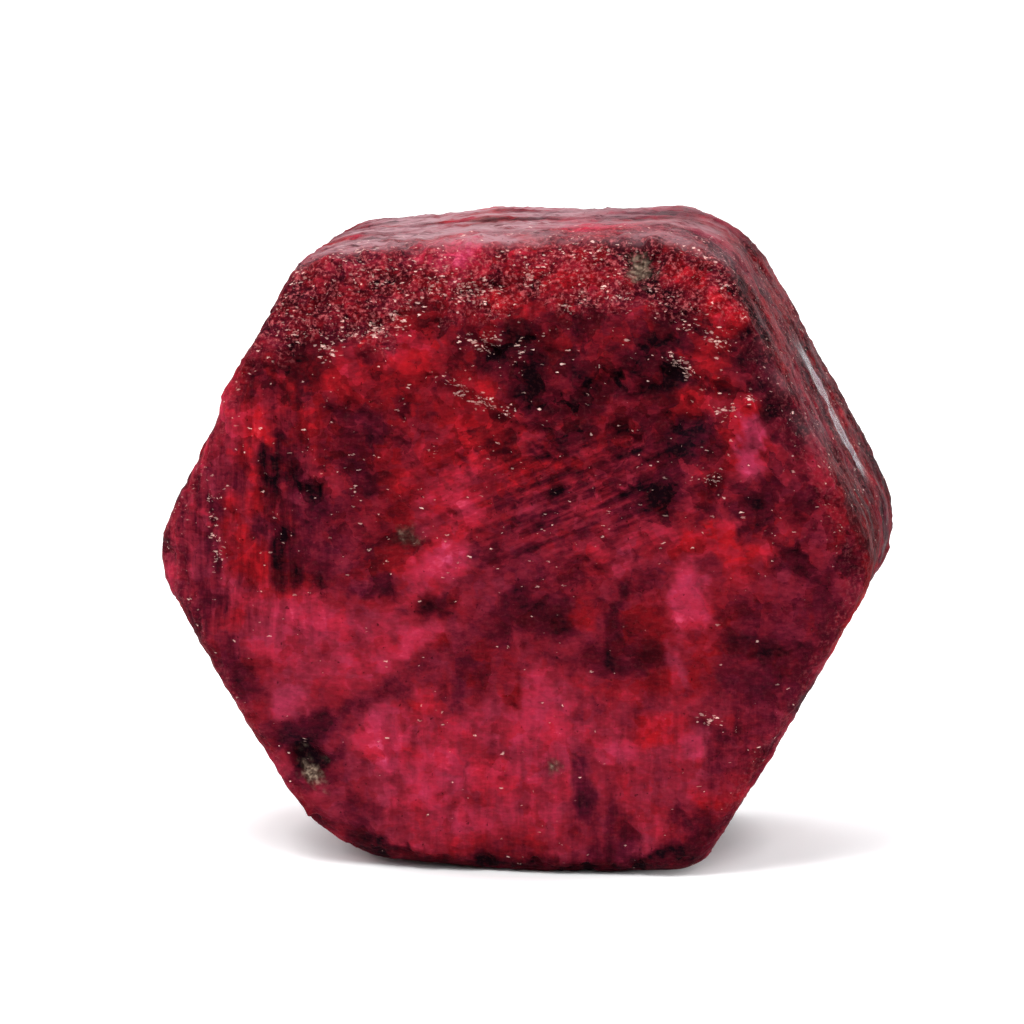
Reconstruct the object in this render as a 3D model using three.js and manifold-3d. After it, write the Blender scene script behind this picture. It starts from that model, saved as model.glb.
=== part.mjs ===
// A raw ruby crystal, grown as one piece: a short six-sided prism of corundum that rests on one of its
// prism faces. The c-axis runs along Y, so the hexagonal end faces look along -Y (front) and +Y (back).
// Millimetres, +Z up. The origin is on the resting face, below the middle of the crystal.

import * as THREE from 'three';
import { mergeVertices } from 'three/addons/utils/BufferGeometryUtils.js';
import Module from 'manifold-3d';

// ---- Driving dimensions, in millimetres and degrees ----

const crystalDepth = 28; // between the two hexagonal end faces, along the c-axis

// The six prism faces. Bearings run from +X towards +Z, seen from the front. A face stands `offset` from
// the c-axis. It is turned by `turn` from its ideal bearing, and flares outwards to the back by `flare`.
const prismFaces = [
  { bearing: 30, offset: 27.5, turn: -2, flare: 2 }, // upper right
  { bearing: 90, offset: 26.5, turn: 2, flare: 1 }, // top
  { bearing: 150, offset: 27, turn: 4, flare: 1 }, // upper left
  { bearing: 210, offset: 26.5, turn: 1, flare: 1 }, // lower left
  { bearing: 270, offset: 26.5, turn: 0, flare: 0 }, // the resting face, level
  { bearing: 330, offset: 27, turn: 0, flare: 1 }, // lower right
];

// How softly two prism faces meet, at the corners with bearings 0, 60, 120, 180, 240 and 300.
// An edge's fillet radius is about twice its blend.
const cornerBlends = [4, 5, 4, 2, 5, 2];

// How softly the front end meets each prism face, in the order of prismFaces. The back end is even.
const frontRimBlends = [4, 4, 2.5, 2, 2.5, 2.5];
const backRimBlend = 3;

// Worn bevels across the rim. `lean` is the angle from the end face's own normal towards `bearing`, and
// `start` is how far from the c-axis the bevel leaves the end face. `end` is -1 at the front, 1 at the back.
const bevels = [
  { end: -1, bearing: 92, lean: 26, start: 17.5, blend: 2 }, // broad rough bevel under the top edge
  { end: -1, bearing: 183, lean: 30, start: 26.5, blend: 1.5 }, // left corner
  { end: -1, bearing: 22, lean: 24, start: 25.5, blend: 2 }, // upper right edge
  { end: -1, bearing: 250, lean: 28, start: 26, blend: 1.5 }, // lower left foot
  { end: 1, bearing: 60, lean: 32, start: 24.5, blend: 2.5 }, // back, upper right
  { end: 1, bearing: 165, lean: 24, start: 24, blend: 2.5 }, // back, left
  { end: 1, bearing: 285, lean: 30, start: 25, blend: 2 }, // back, foot
];

const restTrim = 0.15; // ground off the resting face, so that it is one true flat
const gridStep = 2; // size of a facet
const farthest = 60; // beyond any corner, where the search along a ray starts
const searchSteps = 40; // halvings of the search along a ray

const rubyColour = 0x8a1730;
const rubyRoughness = 0.45;

// ---- The crystal's form ----

const degrees = THREE.MathUtils.degToRad;
const halfDepth = crystalDepth / 2;

// The unit vector at a bearing around the c-axis, leaning from the end face's normal (lean 0) outwards.
function leaningNormal(end, bearing, lean) {
  const outwards = Math.sin(degrees(lean));
  return new THREE.Vector3(
    outwards * Math.cos(degrees(bearing)),
    end * Math.cos(degrees(lean)),
    outwards * Math.sin(degrees(bearing)),
  );
}

// Each plane is a unit normal and its distance from the crystal's centre.
const prismPlanes = prismFaces.map(({ bearing, offset, turn, flare }) => ({
  normal: leaningNormal(-1, bearing + turn, 90 - flare),
  distance: offset,
}));

const bevelPlanes = bevels.map(({ end, bearing, lean, start, blend }) => ({
  normal: leaningNormal(end, bearing, lean),
  distance: start * Math.sin(degrees(lean)) + halfDepth * Math.cos(degrees(lean)),
  blend,
}));

// The larger of a and b, rounded over where they differ by less than `blend`. Away from there it is
// exactly the larger one, so the faces between the rounded edges stay flat.
function smoothMax(a, b, blend) {
  const share = THREE.MathUtils.clamp(0.5 + (0.5 * (a - b)) / blend, 0, 1);
  return b + (a - b) * share + blend * share * (1 - share);
}

// Interpolates six values around the c-axis. The first value stands at `firstBearing`, the rest every 60.
function aroundAxis(values, firstBearing, bearing) {
  const place = THREE.MathUtils.euclideanModulo((bearing - firstBearing) / 60, 6);
  const before = Math.floor(place) % 6;
  return THREE.MathUtils.lerp(values[before], values[(before + 1) % 6], place - Math.floor(place));
}

// Positive outside the crystal, negative inside, zero on its surface.
function height(point) {
  const bearing = THREE.MathUtils.radToDeg(Math.atan2(point.z, point.x));
  const cornerBlend = aroundAxis(cornerBlends, 0, bearing);
  const heights = prismPlanes.map(({ normal, distance }) => point.dot(normal) - distance);
  const prism = heights.reduce((a, b) => smoothMax(a, b, cornerBlend));
  const withFront = smoothMax(prism, -point.y - halfDepth, aroundAxis(frontRimBlends, 30, bearing));
  const withBack = smoothMax(withFront, point.y - halfDepth, backRimBlend);
  return bevelPlanes.reduce(
    (outer, { normal, distance, blend }) => smoothMax(outer, point.dot(normal) - distance, blend),
    withBack,
  );
}

// Moves a point along its ray from the centre until it lies on the surface, by halving an interval.
function ontoSurface(point) {
  const ray = point.clone().normalize();
  let inside = 0;
  let outside = farthest;
  for (let step = 0; step < searchSteps; step += 1) {
    const middle = (inside + outside) / 2;
    if (height(ray.clone().multiplyScalar(middle)) < 0) {
      inside = middle;
    } else {
      outside = middle;
    }
  }
  return ray.multiplyScalar(outside);
}

// ---- Solids ----

const wasm = await Module();
wasm.setup();

// A closed box with a grid on its faces. Only the positions stay, so the faces share their vertices.
function gridBox(width, depth, tallness, step) {
  const segments = [width, depth, tallness].map((side) => Math.round(side / step));
  const box = new THREE.BoxGeometry(width, depth, tallness, ...segments);
  box.deleteAttribute('normal');
  box.deleteAttribute('uv');
  return mergeVertices(box);
}

function toSolid(geometry) {
  const mesh = new wasm.Mesh({
    numProp: 3,
    vertProperties: new Float32Array(geometry.attributes.position.array),
    triVerts: new Uint32Array(geometry.index.array),
  });
  return new wasm.Manifold(mesh);
}

function toGeometry(solid) {
  const { vertProperties, triVerts } = solid.getMesh();
  const geometry = new THREE.BufferGeometry();
  geometry.setAttribute('position', new THREE.BufferAttribute(vertProperties, 3));
  geometry.setIndex(new THREE.BufferAttribute(triVerts, 1));
  return geometry;
}

// The rounded prism with its bevels, around its own centre.
function grownForm() {
  const width = 2 * Math.max(...prismFaces.map(({ offset }) => offset));
  const form = gridBox(width, crystalDepth, width, gridStep);
  const positions = form.attributes.position;
  const point = new THREE.Vector3();
  for (let index = 0; index < positions.count; index += 1) {
    point.fromBufferAttribute(positions, index);
    positions.setXYZ(index, ...ontoSurface(point));
  }
  return form;
}

// Cuts the resting face level, and puts the origin on it, below the middle of the crystal.
function restingCrystal() {
  const restLevel = restTrim - prismFaces[4].offset;
  const ground = gridBox(2 * farthest, 2 * farthest, farthest, farthest);
  ground.translate(0, 0, restLevel - farthest / 2);
  const crystal = toGeometry(toSolid(grownForm()).subtract(toSolid(ground)));
  crystal.computeBoundingBox();
  const middle = crystal.boundingBox.getCenter(new THREE.Vector3());
  crystal.translate(-middle.x, -middle.y, -restLevel);
  return crystal;
}

// ---- The part ----

const ruby = new THREE.MeshStandardMaterial({
  color: rubyColour,
  roughness: rubyRoughness,
  metalness: 0,
  flatShading: true,
});

const crystal = new THREE.Mesh(restingCrystal(), ruby);
crystal.name = 'ruby_crystal';

const part = new THREE.Group();
part.add(crystal);

export default part;
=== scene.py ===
"""The looks of a raw ruby crystal: a short, worn six-sided prism of corundum.

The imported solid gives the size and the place. The crystal is worked out again here from the same driving
dimensions on a fine grid, with its relief, its colour zones and the grains of host rock that it grew around.
Lengths in this file are millimetres unless a name says otherwise. Blender's own lengths are metres.
"""

import logging
import math
from dataclasses import dataclass, field
from enum import Enum

import bpy
import numpy as np
from mathutils import Matrix, Vector


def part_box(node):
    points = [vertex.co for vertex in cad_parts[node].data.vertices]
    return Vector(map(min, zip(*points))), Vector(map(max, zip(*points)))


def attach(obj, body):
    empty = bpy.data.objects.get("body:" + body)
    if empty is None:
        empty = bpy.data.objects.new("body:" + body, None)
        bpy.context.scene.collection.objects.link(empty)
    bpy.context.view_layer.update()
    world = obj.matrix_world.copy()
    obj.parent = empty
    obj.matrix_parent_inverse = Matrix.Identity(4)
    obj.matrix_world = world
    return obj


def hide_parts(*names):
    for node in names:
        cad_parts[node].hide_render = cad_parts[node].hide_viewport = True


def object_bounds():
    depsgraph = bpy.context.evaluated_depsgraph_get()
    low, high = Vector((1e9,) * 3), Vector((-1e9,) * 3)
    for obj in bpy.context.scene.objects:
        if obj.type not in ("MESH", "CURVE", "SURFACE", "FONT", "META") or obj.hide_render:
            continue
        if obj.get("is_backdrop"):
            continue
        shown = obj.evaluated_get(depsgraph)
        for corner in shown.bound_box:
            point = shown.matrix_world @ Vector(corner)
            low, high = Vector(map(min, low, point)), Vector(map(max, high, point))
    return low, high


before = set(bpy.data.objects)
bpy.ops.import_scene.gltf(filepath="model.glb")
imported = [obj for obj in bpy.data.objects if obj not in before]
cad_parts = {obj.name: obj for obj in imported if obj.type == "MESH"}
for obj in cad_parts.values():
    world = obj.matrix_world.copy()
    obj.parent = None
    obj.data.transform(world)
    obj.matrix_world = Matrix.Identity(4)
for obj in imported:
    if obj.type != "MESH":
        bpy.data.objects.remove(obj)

MM = 0.001  # one millimetre in Blender's metres
NODE = "ruby_crystal"
BODY = "root"
LINE_SLOPE = 24.0  # degrees by which the growth lines in the middle of the front end climb to the right
Tree = bpy.types.NodeTree
Socket = bpy.types.NodeSocket
log = logging.getLogger("ruby")


# ---- Small helpers ----


def linear(hex_colour: str) -> tuple[float, float, float, float]:
    """Turns an sRGB colour into the linear values that shaders take.

    Args:
        hex_colour: Six hex digits, such as "8a1730".

    Returns:
        Red, green, blue and an alpha of 1.
    """
    values = [int(hex_colour[start:start + 2], 16) / 255 for start in (0, 2, 4)]
    return (*(v / 12.92 if v <= 0.04045 else ((v + 0.055) / 1.055) ** 2.4 for v in values), 1.0)


def add_node(tree: Tree, kind: str, inputs: dict | None = None, stops: tuple = (),
             **settings: object) -> bpy.types.Node:
    """Adds a node with its settings, values and links.

    Args:
        tree: The node tree that the node goes into.
        kind: Blender's name for the kind of node.
        inputs: Socket name or number to a value, or to the output socket that feeds it.
        stops: For a colour ramp, its pairs of place and sRGB hex colour.
        settings: The node's own properties.

    Returns:
        The new node.
    """
    node = tree.nodes.new(kind)
    for name, value in settings.items():
        setattr(node, name, value)
    for socket, value in (inputs or {}).items():
        if isinstance(value, Socket):
            tree.links.new(value, node.inputs[socket])
        else:
            node.inputs[socket].default_value = value
    for index, (place, colour) in enumerate(stops):
        elements = node.color_ramp.elements
        element = elements[index] if index < 2 else elements.new(place)
        element.position = place
        element.color = linear(colour)
    return node


def smooth_step(low: float, high: float, values: np.ndarray) -> np.ndarray:
    """Goes smoothly from 0 at `low` to 1 at `high`: 3t^2 - 2t^3 of the share t of the way."""
    share = np.clip((values - low) / (high - low), 0.0, 1.0)
    return share * share * (3.0 - 2.0 * share)


def smooth_max(a: np.ndarray, b: np.ndarray, blend: np.ndarray | float) -> np.ndarray:
    """The larger of a and b, rounded over where they differ by less than `blend`."""
    share = np.clip(0.5 + 0.5 * (a - b) / blend, 0.0, 1.0)
    return b + (a - b) * share + blend * share * (1.0 - share)


def mesh_object(name: str, points: np.ndarray, corners: np.ndarray) -> bpy.types.Object:
    """Makes a mesh object from arrays, at the origin, shaded smooth.

    Args:
        name: The object's name.
        points: One row of x, y, z in metres for each vertex.
        corners: One row of vertex numbers for each face, all with as many corners.

    Returns:
        The object, linked into the scene.
    """
    mesh = bpy.data.meshes.new(name)
    mesh.vertices.add(len(points))
    mesh.vertices.foreach_set("co", points.astype(np.float32).ravel())
    mesh.loops.add(corners.size)
    mesh.loops.foreach_set("vertex_index", corners.astype(np.int32).ravel())
    mesh.polygons.add(len(corners))
    mesh.polygons.foreach_set("loop_start", np.arange(0, corners.size, corners.shape[1], dtype=np.int32))
    mesh.update(calc_edges=True)
    mesh.validate()
    mesh.polygons.foreach_set("use_smooth", np.ones(len(mesh.polygons), dtype=bool))
    thing = bpy.data.objects.new(name, mesh)
    bpy.context.scene.collection.objects.link(thing)
    return thing


def put_vectors(thing: bpy.types.Object, name: str, columns: tuple[np.ndarray, ...]) -> None:
    """Stores three values for each vertex as a named attribute, for the material to read.

    Args:
        thing: The mesh object.
        name: The attribute's name.
        columns: Three arrays with one value for each vertex.
    """
    rows = np.stack(columns, axis=1)
    attribute = thing.data.attributes.new(name, "FLOAT_VECTOR", "POINT")
    attribute.data.foreach_set("vector", rows.astype(np.float32).ravel())


class SolidNoise:
    """Smooth random values and scattered cells through space, the same on every run."""

    def __init__(self, seed: int) -> None:
        """Draws the tables of random order, directions and offsets.

        Args:
            seed: The number that all the draws start from.
        """
        chance = np.random.default_rng(seed)
        self.order = chance.permutation(256)
        directions = chance.normal(size=(256, 3))
        self.directions = directions / np.linalg.norm(directions, axis=1, keepdims=True)
        self.offsets = chance.random((256, 3))

    def pick(self, lattice: np.ndarray) -> np.ndarray:
        """Looks the coordinates up in the order table, one after the other.

        Args:
            lattice: Whole-number places, one row each.

        Returns:
            Numbers from 0 to 255, with no visible order.
        """
        first = self.order[lattice[..., 0] & 255]
        second = self.order[(first + lattice[..., 1]) & 255]
        return self.order[(second + lattice[..., 2]) & 255]

    def shifts(self, points: np.ndarray, size: float, octaves: int, starts: tuple) -> np.ndarray:
        """Three layers of smooth noise side by side, one from each start: a random way for each point."""
        return np.stack([self.smooth(points + start, size, octaves) for start in starts], axis=1)

    def smooth(self, points: np.ndarray, size: float, octaves: int = 1) -> np.ndarray:
        """Gradient noise: each lattice corner has a random slope, blended with 6t^5 - 15t^4 + 10t^3.

        Args:
            points: Places in millimetres.
            size: The width of one swell, in millimetres.
            octaves: How many layers are added, each half the size and half the strength of the last.

        Returns:
            One value for each point, from about -1 to 1.
        """
        total = np.zeros(len(points))
        strength = 1.0
        for octave in range(octaves):
            places = points * (2 ** octave / size) + 17.3 * octave
            base = np.floor(places).astype(int)
            inner = places - base
            ease = inner ** 3 * (inner * (inner * 6.0 - 15.0) + 10.0)
            for corner in np.ndindex(2, 2, 2):
                step = np.array(corner)
                slope = self.directions[self.pick(base + step)]
                weight = np.prod(np.where(step == 1, ease, 1.0 - ease), axis=1)
                total += strength * weight * np.sum(slope * (inner - step), axis=1)
            strength *= 0.5
        return total * 1.7

    def cells(self, points: np.ndarray, size: float) -> tuple[np.ndarray, np.ndarray]:
        """Scatters one seed in each cube of side `size` and finds the nearest seed to each point.

        Args:
            points: Places in millimetres.
            size: The mean distance between seeds, in millimetres.

        Returns:
            The way from the nearest seed to each point in millimetres, and that seed's number in the tables.
        """
        places = points / size
        base = np.floor(places).astype(int)
        nearest = np.full(len(points), np.inf)
        way = np.zeros_like(places)
        number = np.zeros(len(points), dtype=int)
        for corner in np.ndindex(3, 3, 3):
            cell = base + np.array(corner) - 1
            seed = self.pick(cell)
            offset = places - cell - self.offsets[seed]
            away = np.linalg.norm(offset, axis=1)
            closer = away < nearest
            nearest = np.where(closer, away, nearest)
            way[closer] = offset[closer]
            number = np.where(closer, seed, number)
        return way * size, number


# ---- The crystal's form ----


class End(Enum):
    """The two hexagonal ends of the prism, by the sign of Y on their side."""

    FRONT = -1
    BACK = 1


@dataclass(frozen=True)
class PrismFace:
    """One of the six prism faces. Bearings run from +X towards +Z. It flares outwards to the back."""

    bearing: float
    offset: float
    turn: float
    flare: float


@dataclass(frozen=True)
class Bevel:
    """A worn bevel across the rim, leaning away from an end face and starting `start` from the c-axis."""

    end: End
    bearing: float
    lean: float
    start: float
    blend: float


def leaning_normal(end: End, bearing: float, lean: float) -> np.ndarray:
    """The unit vector that leans outwards from an end face's own normal.

    Args:
        end: The end face.
        bearing: The side it leans to, in degrees from +X towards +Z.
        lean: How far it leans, in degrees.

    Returns:
        The vector (sin lean cos bearing, the end's sign times cos lean, sin lean sin bearing).
    """
    outwards = math.sin(math.radians(lean))
    along = end.value * math.cos(math.radians(lean))
    around = math.radians(bearing)
    return np.array((outwards * math.cos(around), along, outwards * math.sin(around)))


@dataclass(frozen=True)
class CrystalForm:
    """The rounded prism with its bevels, around its own centre, in millimetres."""

    depth: float = 28.0
    faces: tuple[PrismFace, ...] = (
        PrismFace(30, 27.5, -2, 2),
        PrismFace(90, 26.5, 2, 1),
        PrismFace(150, 27, 4, 1),
        PrismFace(210, 26.5, 1, 1),
        PrismFace(270, 26.5, 0, 0),
        PrismFace(330, 27, 0, 1),
    )
    corner_blends: tuple[float, ...] = (4, 5, 4, 2, 5, 2)
    front_rim_blends: tuple[float, ...] = (4.0, 4.0, 2.5, 2.0, 2.5, 2.5)
    back_rim_blend: float = 3.0
    bevels: tuple[Bevel, ...] = (
        Bevel(End.FRONT, 92, 26, 17.5, 2),
        Bevel(End.FRONT, 183, 30, 26.5, 1.5),
        Bevel(End.FRONT, 22, 24, 25.5, 2),
        Bevel(End.FRONT, 250, 28, 26, 1.5),
        Bevel(End.BACK, 60, 32, 24.5, 2.5),
        Bevel(End.BACK, 165, 24, 24, 2.5),
        Bevel(End.BACK, 285, 30, 25, 2),
    )
    rest_trim: float = 0.15
    farthest: float = 60.0
    search_steps: int = 30

    @property
    def rest_level(self) -> float:
        """The height of the resting face, below the crystal's centre."""
        return self.rest_trim - self.faces[4].offset

    def height(self, points: np.ndarray) -> np.ndarray:
        """How far each point stands outside the crystal: the smooth maximum of its planes' distances.

        Args:
            points: Places in millimetres from the crystal's centre.

        Returns:
            Positive outside, negative inside and zero on the surface.
        """
        bearing = np.degrees(np.arctan2(points[:, 2], points[:, 0])) % 360
        corners = np.interp(bearing, np.arange(0, 361, 60), self.corner_blends + self.corner_blends[:1])
        rims = np.interp((bearing - 30) % 360, np.arange(0, 361, 60),
                         self.front_rim_blends + self.front_rim_blends[:1])
        outer = np.full(len(points), -self.farthest)
        for face in self.faces:
            normal = leaning_normal(End.FRONT, face.bearing + face.turn, 90 - face.flare)
            outer = smooth_max(outer, points @ normal - face.offset, corners)
        outer = smooth_max(outer, -points[:, 1] - self.depth / 2, rims)
        outer = smooth_max(outer, points[:, 1] - self.depth / 2, self.back_rim_blend)
        for bevel in self.bevels:
            normal = leaning_normal(bevel.end, bevel.bearing, bevel.lean)
            lean = math.radians(bevel.lean)
            distance = bevel.start * math.sin(lean) + self.depth / 2 * math.cos(lean)
            outer = smooth_max(outer, points @ normal - distance, bevel.blend)
        return outer

    def onto_surface(self, points: np.ndarray) -> np.ndarray:
        """Moves points along their rays from the centre onto the surface, by halving an interval.

        Args:
            points: Places around the crystal's centre, in any direction and at any distance.

        Returns:
            The places where the rays through the points leave the crystal.
        """
        rays = points / np.linalg.norm(points, axis=1, keepdims=True)
        inside = np.zeros(len(points))
        outside = np.full(len(points), self.farthest)
        for _ in range(self.search_steps):
            middle = (inside + outside) / 2
            within = self.height(rays * middle[:, None]) < 0
            inside = np.where(within, middle, inside)
            outside = np.where(within, outside, middle)
        return rays * outside[:, None]

    def outward(self, points: np.ndarray, step: float = 0.05) -> np.ndarray:
        """The surface's normals: the unit slope of `height`, from differences over a small step.

        Args:
            points: Places on the surface, from the crystal's centre.
            step: How far the slope is looked up to each side.

        Returns:
            One outward unit vector for each point.
        """
        slope = np.stack([self.height(points + offset) - self.height(points - offset)
                          for offset in np.eye(3) * step], axis=1)
        return slope / np.linalg.norm(slope, axis=1, keepdims=True)


def grid_box(sides: tuple[float, float, float], step: float) -> tuple[np.ndarray, np.ndarray]:
    """A closed box with a square grid on its six sides, whose edges share their points.

    Args:
        sides: The box's lengths along X, Y and Z.
        step: The size of one square.

    Returns:
        The points around the box's centre, and the point numbers of each square, facing outwards.
    """
    counts = np.round(np.array(sides) / step).astype(int)
    squares = []
    for axis in range(3):
        across, along = (axis + 1) % 3, (axis + 2) % 3
        u, v = np.meshgrid(np.arange(counts[across]), np.arange(counts[along]), indexing="ij")
        for level, order in ((0, -1), (counts[axis], 1)):
            square = np.zeros((u.size, 4, 3), dtype=int)
            square[..., axis] = level
            for corner, (du, dv) in enumerate(((0, 0), (1, 0), (1, 1), (0, 1))[::order]):
                square[:, corner, across] = u.ravel() + du
                square[:, corner, along] = v.ravel() + dv
            squares.append(square)
    lattice, numbers = np.unique(np.concatenate(squares).reshape(-1, 3), axis=0, return_inverse=True)
    return (lattice / counts - 0.5) * np.array(sides), numbers.reshape(-1, 4)


# ---- Relief ----


@dataclass(frozen=True)
class Ledge:
    """A broken step across the front end, from one place to another, lower on its right-hand side."""

    start: tuple[float, float]
    stop: tuple[float, float]
    drop: float
    reach: float


@dataclass(frozen=True)
class Hollow:
    """A round pit in the front end."""

    place: tuple[float, float]
    radius: float
    depth: float


def line_regions(rest: np.ndarray) -> tuple[np.ndarray, np.ndarray]:
    """Where growth lines show on the front end.

    Args:
        rest: Places from the middle of the resting face.

    Returns:
        1 where the lines stand upright, on the left and less in the foot, and 1 where they slant.
    """
    x, z = rest[:, 0], rest[:, 2]
    left = smooth_step(-12.0, -20.0, x) * smooth_step(14.0, 22.0, z) * smooth_step(46.0, 36.0, z)
    foot = 0.5 * smooth_step(20.0, 12.0, z) * smooth_step(-16.0, -8.0, x)
    middle = np.exp(-((x - 5.0) / 12.0) ** 2 - ((z - 32.0) / 6.0) ** 2)
    return np.maximum(left, foot), middle


@dataclass(frozen=True)
class Relief:
    """Everything that stands proud of the smooth form or is sunk into it, in millimetres."""

    noise: SolidNoise
    swell_height: float = 0.22
    swell_size: float = 11.0
    scallop_height: float = 0.06  # all round, and `front_scallops` more on the front end
    front_scallops: float = 0.20
    scallop_size: float = 2.8
    grain_height: float = 0.09
    grain_size: float = 0.95
    sand_height: float = 0.20
    sand_size: float = 1.25
    upright_height: float = 0.22
    slanting_height: float = 0.26
    pit_spacing: float = 2.3
    pit_depth: float = 0.22
    chip_layers: tuple[tuple[float, float], ...] = ((3.4, 0.16), (1.5, 0.22))  # size and slope
    terrace_layers: tuple[tuple[float, float], ...] = ((3.1, 0.26), (1.1, 0.14))  # spacing and height
    ledges: tuple[Ledge, ...] = (
        Ledge((-6.5, 41.6), (1.5, 37.8), 0.9, 3.0),
        Ledge((-9.0, 46.2), (-15.5, 43.6), 0.6, 2.5),
        Ledge((-4.5, 48.6), (2.0, 49.6), 0.8, 2.0),
        Ledge((-3.6, 46.0), (-0.6, 43.4), 1.0, 2.5),
        Ledge((13.0, 43.4), (18.0, 41.0), 0.6, 2.0),
        Ledge((15.2, 32.8), (19.0, 34.0), 0.5, 1.5),
        Ledge((14.5, 13.6), (19.0, 12.6), 0.4, 1.5),
        Ledge((-24.6, 31.5), (-24.2, 24.0), 0.6, 1.5),
        Ledge((10.5, 38.2), (16.0, 39.2), 0.5, 1.5),
        Ledge((2.0, 44.8), (-1.5, 43.2), 0.6, 1.5),
    )
    hollows: tuple[Hollow, ...] = (
        Hollow((-16.9, 9.2), 1.5, 0.9),
        Hollow((10.6, 50.6), 1.3, 0.7),
        Hollow((-3.6, 46.8), 0.6, 0.6),
        Hollow((3.5, 9.0), 0.5, 0.35),
        Hollow((-8.4, 27.9), 0.9, 0.3),
        Hollow((10.4, 13.9), 0.5, 0.3),
        Hollow((-6.2, 33.9), 0.6, 0.35),
    )

    def height(self, points: np.ndarray, rest: np.ndarray, normals: np.ndarray, rough: np.ndarray,
               gloss: np.ndarray) -> np.ndarray:
        """Adds the layers of relief.

        Args:
            points: Places from the crystal's centre.
            rest: The same places from the middle of the resting face.
            normals: The smooth form's normals.
            rough: 1 where the surface is sandy, 0 where it is even.
            gloss: 1 where the surface is a clean smooth growth face.

        Returns:
            How far to move each point along its normal.
        """
        front = smooth_step(0.35, 0.8, -normals[:, 1])
        worn = smooth_step(0.6, 0.97, normals[:, 2]) * smooth_step(6.0, -2.0, rest[:, 0])
        side = (1.0 - smooth_step(0.25, 0.6, np.abs(normals[:, 1]))) * (1.0 - 0.75 * worn)
        scalloped = self.scallop_height + self.front_scallops * front
        return (self.swell_height * self.noise.smooth(points, self.swell_size, 2)
                + scalloped * self.noise.smooth(points, self.scallop_size, 3)
                + self.grain_height * self.noise.smooth(points, self.grain_size, 2) * (1.0 - 0.8 * gloss)
                + self.sand_height * rough * self.noise.smooth(points, self.sand_size, 2)
                + self.growth_steps(points, side) + self.striae(rest, front)
                + front * (self.ledge_height(rest) + self.hollow_height(rest)) + self.pitting(points)
                + self.chips(points, rest, front, gloss) + self.wear(rest, normals))

    def wear(self, rest: np.ndarray, normals: np.ndarray) -> np.ndarray:
        """Broad wear: a dip in the left of the top face, and a shoulder on the upper left face.

        Args:
            rest: Places from the middle of the resting face.
            normals: The smooth form's normals.

        Returns:
            The height of the wear, below 0 in the dip.
        """
        x, z = rest[:, 0], rest[:, 2]
        dip = smooth_step(0.6, 0.97, normals[:, 2]) * smooth_step(-2.0, -14.0, x)
        left_face = smooth_step(-0.4, -0.7, normals[:, 0]) * smooth_step(0.1, 0.3, normals[:, 2])
        shoulder = left_face * smooth_step(37.0, 39.5, z) * smooth_step(47.0, 41.0, z)
        return 0.5 * shoulder - 0.6 * dip

    def worn_foot(self, rest: np.ndarray) -> np.ndarray:
        """How far the front edge of the resting face is worn up: most at its left end, less at its right.

        Args:
            rest: Places from the middle of the resting face.

        Returns:
            The lift of each point, which fades to 0 at 6 mm above the resting face.
        """
        x, y, z = rest.T
        ends = 0.6 * smooth_step(3.0, -12.0, x) + 0.4 * smooth_step(4.0, 15.0, x)
        return ends * smooth_step(-4.0, -13.0, y) * smooth_step(6.0, 0.0, z)

    def growth_steps(self, points: np.ndarray, side: np.ndarray) -> np.ndarray:
        """Fine terraces on the prism faces, across the c-axis: two triangle waves of the warped depth.

        Args:
            points: Places from the crystal's centre.
            side: 1 on the prism faces and 0 on the ends.

        Returns:
            The terraces' height.
        """
        warp = 0.9 * self.noise.smooth(points * (0.35, 1.0, 0.35), 4.0, 2)
        depth = points[:, 1] + warp
        waves = [height * (np.abs((depth / spacing) % 1.0 - 0.5) - 0.25)
                 for spacing, height in self.terrace_layers]
        return side * sum(waves)

    def striae(self, rest: np.ndarray, front: np.ndarray) -> np.ndarray:
        """Scratch-like growth lines on the front end: noise drawn out eight times along each direction.

        Args:
            rest: Places from the middle of the resting face.
            front: 1 on the front end.

        Returns:
            The lines' height: upright on the left, climbing to the right in the middle.
        """
        x, z = rest[:, 0], rest[:, 2]
        left, middle = line_regions(rest)
        upright = self.noise.smooth(rest * (1.0, 1.0, 0.12), 0.8, 2)
        angle = math.radians(LINE_SLOPE)
        slanting = np.stack([x * math.sin(angle) - z * math.cos(angle), rest[:, 1],
                             0.12 * (x * math.cos(angle) + z * math.sin(angle))], axis=1)
        return front * (self.upright_height * left * upright
                        + self.slanting_height * middle * self.noise.smooth(slanting, 0.9, 2))

    def ledge_height(self, rest: np.ndarray) -> np.ndarray:
        """Adds the ledges: each drops at once on its right, then climbs back as exp(-distance / reach).

        Args:
            rest: Places from the middle of the resting face.

        Returns:
            The ledges' height, at most 0.
        """
        total = np.zeros(len(rest))
        wobble = 0.5 * self.noise.smooth(rest, 2.2, 2)
        for ledge in self.ledges:
            along = np.subtract(ledge.stop, ledge.start)
            length = np.linalg.norm(along)
            along = along / length
            offset = rest[:, (0, 2)] - np.array(ledge.start)
            share = offset @ along / length
            beside = offset @ np.array((along[1], -along[0])) + wobble
            ends = smooth_step(-0.15, 0.15, share) * smooth_step(1.15, 0.85, share)
            fall = smooth_step(-0.2, 0.2, beside) * np.exp(-np.maximum(beside, 0.0) / ledge.reach)
            total -= ledge.drop * ends * fall
        return total

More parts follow.
